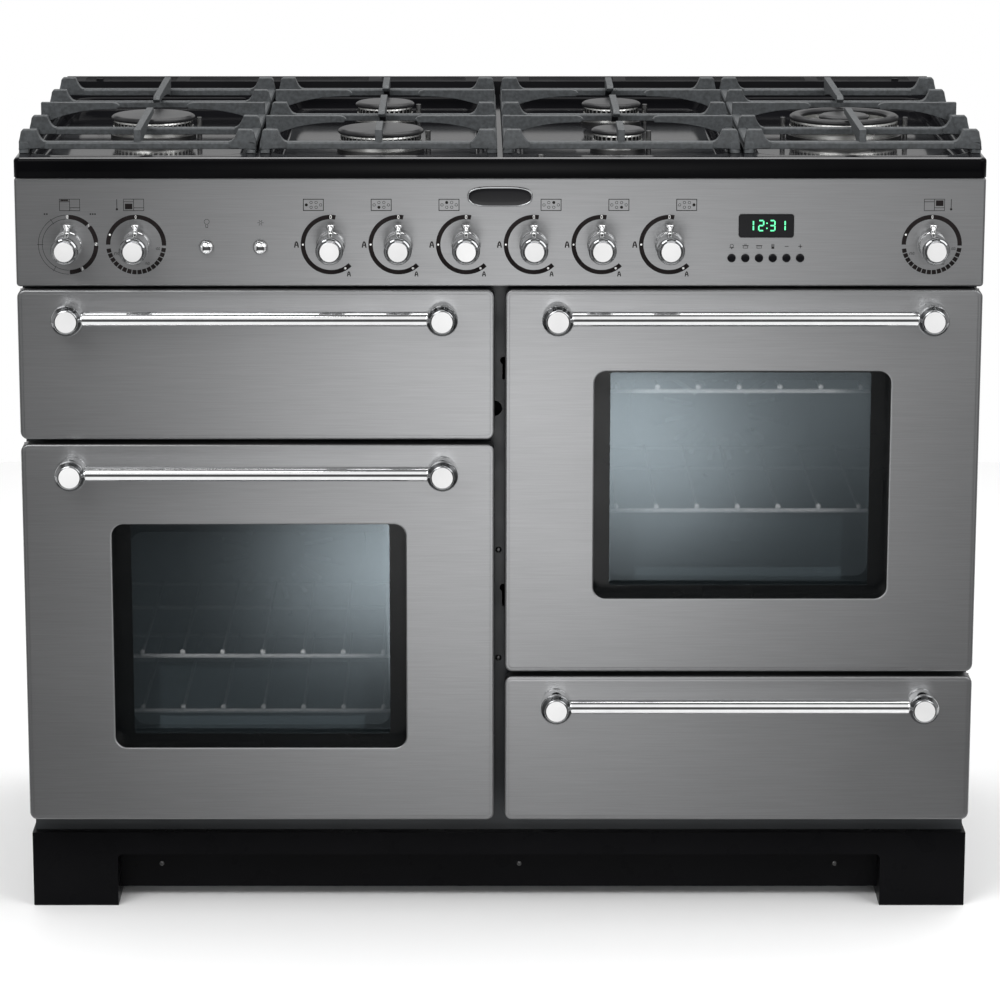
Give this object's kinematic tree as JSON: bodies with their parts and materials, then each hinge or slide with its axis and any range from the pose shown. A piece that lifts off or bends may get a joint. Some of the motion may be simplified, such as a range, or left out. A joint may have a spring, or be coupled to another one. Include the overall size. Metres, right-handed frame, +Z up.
{
  "type": "range cooker",
  "caption": "Free-standing range cooker with a gas hob, two side-hinged ovens, a drop-down grill, a storage drawer, bar handles and turned knobs.",
  "frame": {"origin": "middle of the footprint, handles included, at floor level", "axes": "+X to the right as seen from the front, +Y to the back, +Z up"},
  "size_m": [1.1, 0.65, 0.922],
  "materials": {
    "brushed_steel": "fine horizontal brush, satin",
    "chrome": "polished",
    "gloss_enamel": "black vitreous enamel, glossy",
    "black_paint": "black powder coat, satin",
    "grey_paint": "dark grey, satin",
    "zinc_steel": "zinc coated sheet, dull",
    "oven_enamel": "grey speckled vitreous enamel, semi-gloss",
    "cast_iron": "matt enamelled casting, fine grain",
    "burner_alloy": "cast, satin",
    "cap_enamel": "matt black enamel on pressed steel",
    "brass": "turned, satin",
    "oven_glass": "tinted, glossy, black printed border",
    "seal_rubber": "matt woven-faced silicone",
    "roller_plastic": "matt",
    "element_steel": "heat-darkened, dull",
    "switch_plastic": "matt",
    "clock_plastic": "glossy window and keys",
    "bright_wire": "bright wire"
  },
  "bodies": {
    "root": {"base_frame": "zinc_steel", "side_panels": "black_paint", "rear_panel": "zinc_steel", "front_frame": "grey_paint", "plinth": "black_paint", "fascia": "brushed_steel", "clock_display": "clock_plastic", "hob_plate": "gloss_enamel", "rear_vent": "gloss_enamel", "burner_bases_and_electrodes": "burner_alloy", "burner_heads": "burner_alloy", "burner_caps": "cap_enamel", "gas_rail_and_taps": "brass", "oven_liners": "oven_enamel", "grill_liner": "oven_enamel", "oven_furniture": "bright_wire", "heating_elements": "element_steel", "oven_back_fittings": "zinc_steel", "door_seals": "seal_rubber", "hinges_and_runners": "zinc_steel", "control_switches": "switch_plastic"},
    "rear_rollers": {"rear_rollers": "roller_plastic"},
    "levelling_feet": {"levelling_feet": "zinc_steel"},
    "left_oven_fan": {"left_oven_fan": "burner_alloy"},
    "right_oven_fan": {"right_oven_fan": "burner_alloy"},
    "grill_door": {"grill_door_panel": "brushed_steel", "grill_door_liner": "oven_enamel", "grill_door_handle": "chrome"},
    "left_oven_door": {"left_door_panel": "brushed_steel", "left_door_glass": "oven_glass", "left_door_liner": "oven_enamel", "left_door_handle": "chrome"},
    "right_oven_door": {"right_door_panel": "brushed_steel", "right_door_glass": "oven_glass", "right_door_liner": "oven_enamel", "right_door_handle": "chrome"},
    "drawer": {"drawer_front": "brushed_steel", "drawer_box": "grey_paint", "drawer_handle": "chrome"},
    "light_button": {"light_button": "chrome"},
    "spark_button": {"spark_button": "chrome"},
    "knob_grill": {"knob_grill": "chrome"},
    "knob_left_oven": {"knob_left_oven": "chrome"},
    "knob_right_oven": {"knob_right_oven": "chrome"},
    "knob_hob_1": {"knob_hob_1": "chrome"},
    "knob_hob_2": {"knob_hob_2": "chrome"},
    "knob_hob_3": {"knob_hob_3": "chrome"},
    "knob_hob_4": {"knob_hob_4": "chrome"},
    "knob_hob_5": {"knob_hob_5": "chrome"},
    "knob_hob_6": {"knob_hob_6": "chrome"},
    "clock_key_1": {"clock_key_1": "clock_plastic"},
    "clock_key_2": {"clock_key_2": "clock_plastic"},
    "clock_key_3": {"clock_key_3": "clock_plastic"},
    "clock_key_4": {"clock_key_4": "clock_plastic"},
    "clock_key_5": {"clock_key_5": "clock_plastic"},
    "clock_key_6": {"clock_key_6": "clock_plastic"},
    "pan_support_1": {"pan_support_1": "cast_iron"},
    "pan_support_2": {"pan_support_2": "cast_iron"},
    "pan_support_3": {"pan_support_3": "cast_iron"},
    "pan_support_4": {"pan_support_4": "cast_iron"}
  },
  "joints": [
    {"name": "grill_door_drop", "type": "hinge", "parent": "root", "child": "grill_door", "pos_m": [-0.2775, -0.2685, 0.578], "axis": [1, 0, 0], "range_deg": [0, 90]},
    {"name": "left_oven_door_swing", "type": "hinge", "parent": "root", "child": "left_oven_door", "pos_m": [-0.538, -0.255, 0.33975], "axis": [0, 0, -1], "range_deg": [0, 110]},
    {"name": "right_oven_door_swing", "type": "hinge", "parent": "root", "child": "right_oven_door", "pos_m": [0.538, -0.255, 0.51925], "axis": [0, 0, 1], "range_deg": [0, 110]},
    {"name": "drawer_slide", "type": "slide", "parent": "root", "child": "drawer", "axis": [0, -1, 0], "range_m": [0, 0.38]},
    {"name": "knob_hob_1_turn", "type": "hinge", "parent": "root", "child": "knob_hob_1", "pos_m": [-0.192, -0.268, 0.795], "axis": [0, -1, 0], "range_deg": [0, 212]},
    {"name": "knob_hob_2_turn", "type": "hinge", "parent": "root", "child": "knob_hob_2", "pos_m": [-0.1152, -0.268, 0.795], "axis": [0, -1, 0], "range_deg": [0, 212]},
    {"name": "knob_hob_3_turn", "type": "hinge", "parent": "root", "child": "knob_hob_3", "pos_m": [-0.0384, -0.268, 0.795], "axis": [0, -1, 0], "range_deg": [0, 212]},
    {"name": "knob_hob_4_turn", "type": "hinge", "parent": "root", "child": "knob_hob_4", "pos_m": [0.0384, -0.268, 0.795], "axis": [0, -1, 0], "range_deg": [0, 212]},
    {"name": "knob_hob_5_turn", "type": "hinge", "parent": "root", "child": "knob_hob_5", "pos_m": [0.1152, -0.268, 0.795], "axis": [0, -1, 0], "range_deg": [0, 212]},
    {"name": "knob_hob_6_turn", "type": "hinge", "parent": "root", "child": "knob_hob_6", "pos_m": [0.192, -0.268, 0.795], "axis": [0, -1, 0], "range_deg": [0, 212]},
    {"name": "knob_grill_turn", "type": "hinge", "parent": "root", "child": "knob_grill", "pos_m": [-0.49, -0.268, 0.795], "axis": [0, -1, 0], "range_deg": [-160, 160]},
    {"name": "knob_left_oven_turn", "type": "hinge", "parent": "root", "child": "knob_left_oven", "pos_m": [-0.413, -0.268, 0.795], "axis": [0, -1, 0], "range_deg": [-291, 0]},
    {"name": "knob_right_oven_turn", "type": "hinge", "parent": "root", "child": "knob_right_oven", "pos_m": [0.49, -0.268, 0.795], "axis": [0, -1, 0], "range_deg": [-270, 0]},
    {"name": "light_button_push", "type": "slide", "parent": "root", "child": "light_button", "axis": [0, 1, 0], "range_m": [0, 0.003], "stiffness_N_per_m": 600},
    {"name": "spark_button_push", "type": "slide", "parent": "root", "child": "spark_button", "axis": [0, 1, 0], "range_m": [0, 0.003], "stiffness_N_per_m": 600},
    {"name": "clock_key_1_push", "type": "slide", "parent": "root", "child": "clock_key_1", "axis": [0, 1, 0], "range_m": [0, 0.001], "stiffness_N_per_m": 900},
    {"name": "clock_key_2_push", "type": "slide", "parent": "root", "child": "clock_key_2", "axis": [0, 1, 0], "range_m": [0, 0.001], "stiffness_N_per_m": 900},
    {"name": "clock_key_3_push", "type": "slide", "parent": "root", "child": "clock_key_3", "axis": [0, 1, 0], "range_m": [0, 0.001], "stiffness_N_per_m": 900},
    {"name": "clock_key_4_push", "type": "slide", "parent": "root", "child": "clock_key_4", "axis": [0, 1, 0], "range_m": [0, 0.001], "stiffness_N_per_m": 900},
    {"name": "clock_key_5_push", "type": "slide", "parent": "root", "child": "clock_key_5", "axis": [0, 1, 0], "range_m": [0, 0.001], "stiffness_N_per_m": 900},
    {"name": "clock_key_6_push", "type": "slide", "parent": "root", "child": "clock_key_6", "axis": [0, 1, 0], "range_m": [0, 0.001], "stiffness_N_per_m": 900},
    {"name": "pan_support_1_lift", "type": "slide", "parent": "root", "child": "pan_support_1", "axis": [0, 0, 1], "range_m": [0, 0.12]},
    {"name": "pan_support_2_lift", "type": "slide", "parent": "root", "child": "pan_support_2", "axis": [0, 0, 1], "range_m": [0, 0.12]},
    {"name": "pan_support_3_lift", "type": "slide", "parent": "root", "child": "pan_support_3", "axis": [0, 0, 1], "range_m": [0, 0.12]},
    {"name": "pan_support_4_lift", "type": "slide", "parent": "root", "child": "pan_support_4", "axis": [0, 0, 1], "range_m": [0, 0.12]},
    {"name": "rear_rollers_roll", "type": "hinge", "parent": "root", "child": "rear_rollers", "pos_m": [0, 0.255, 0.025], "axis": [1, 0, 0], "continuous": true},
    {"name": "levelling_feet_screw", "type": "slide", "parent": "root", "child": "levelling_feet", "axis": [0, 0, -1], "range_m": [0, 0.025]},
    {"name": "left_oven_fan_spin", "type": "hinge", "parent": "root", "child": "left_oven_fan", "pos_m": [-0.2775, 0.15, 0.33975], "axis": [0, 1, 0], "continuous": true},
    {"name": "right_oven_fan_spin", "type": "hinge", "parent": "root", "child": "right_oven_fan", "pos_m": [0.2775, 0.15, 0.51925], "axis": [0, 1, 0], "continuous": true}
  ]
}
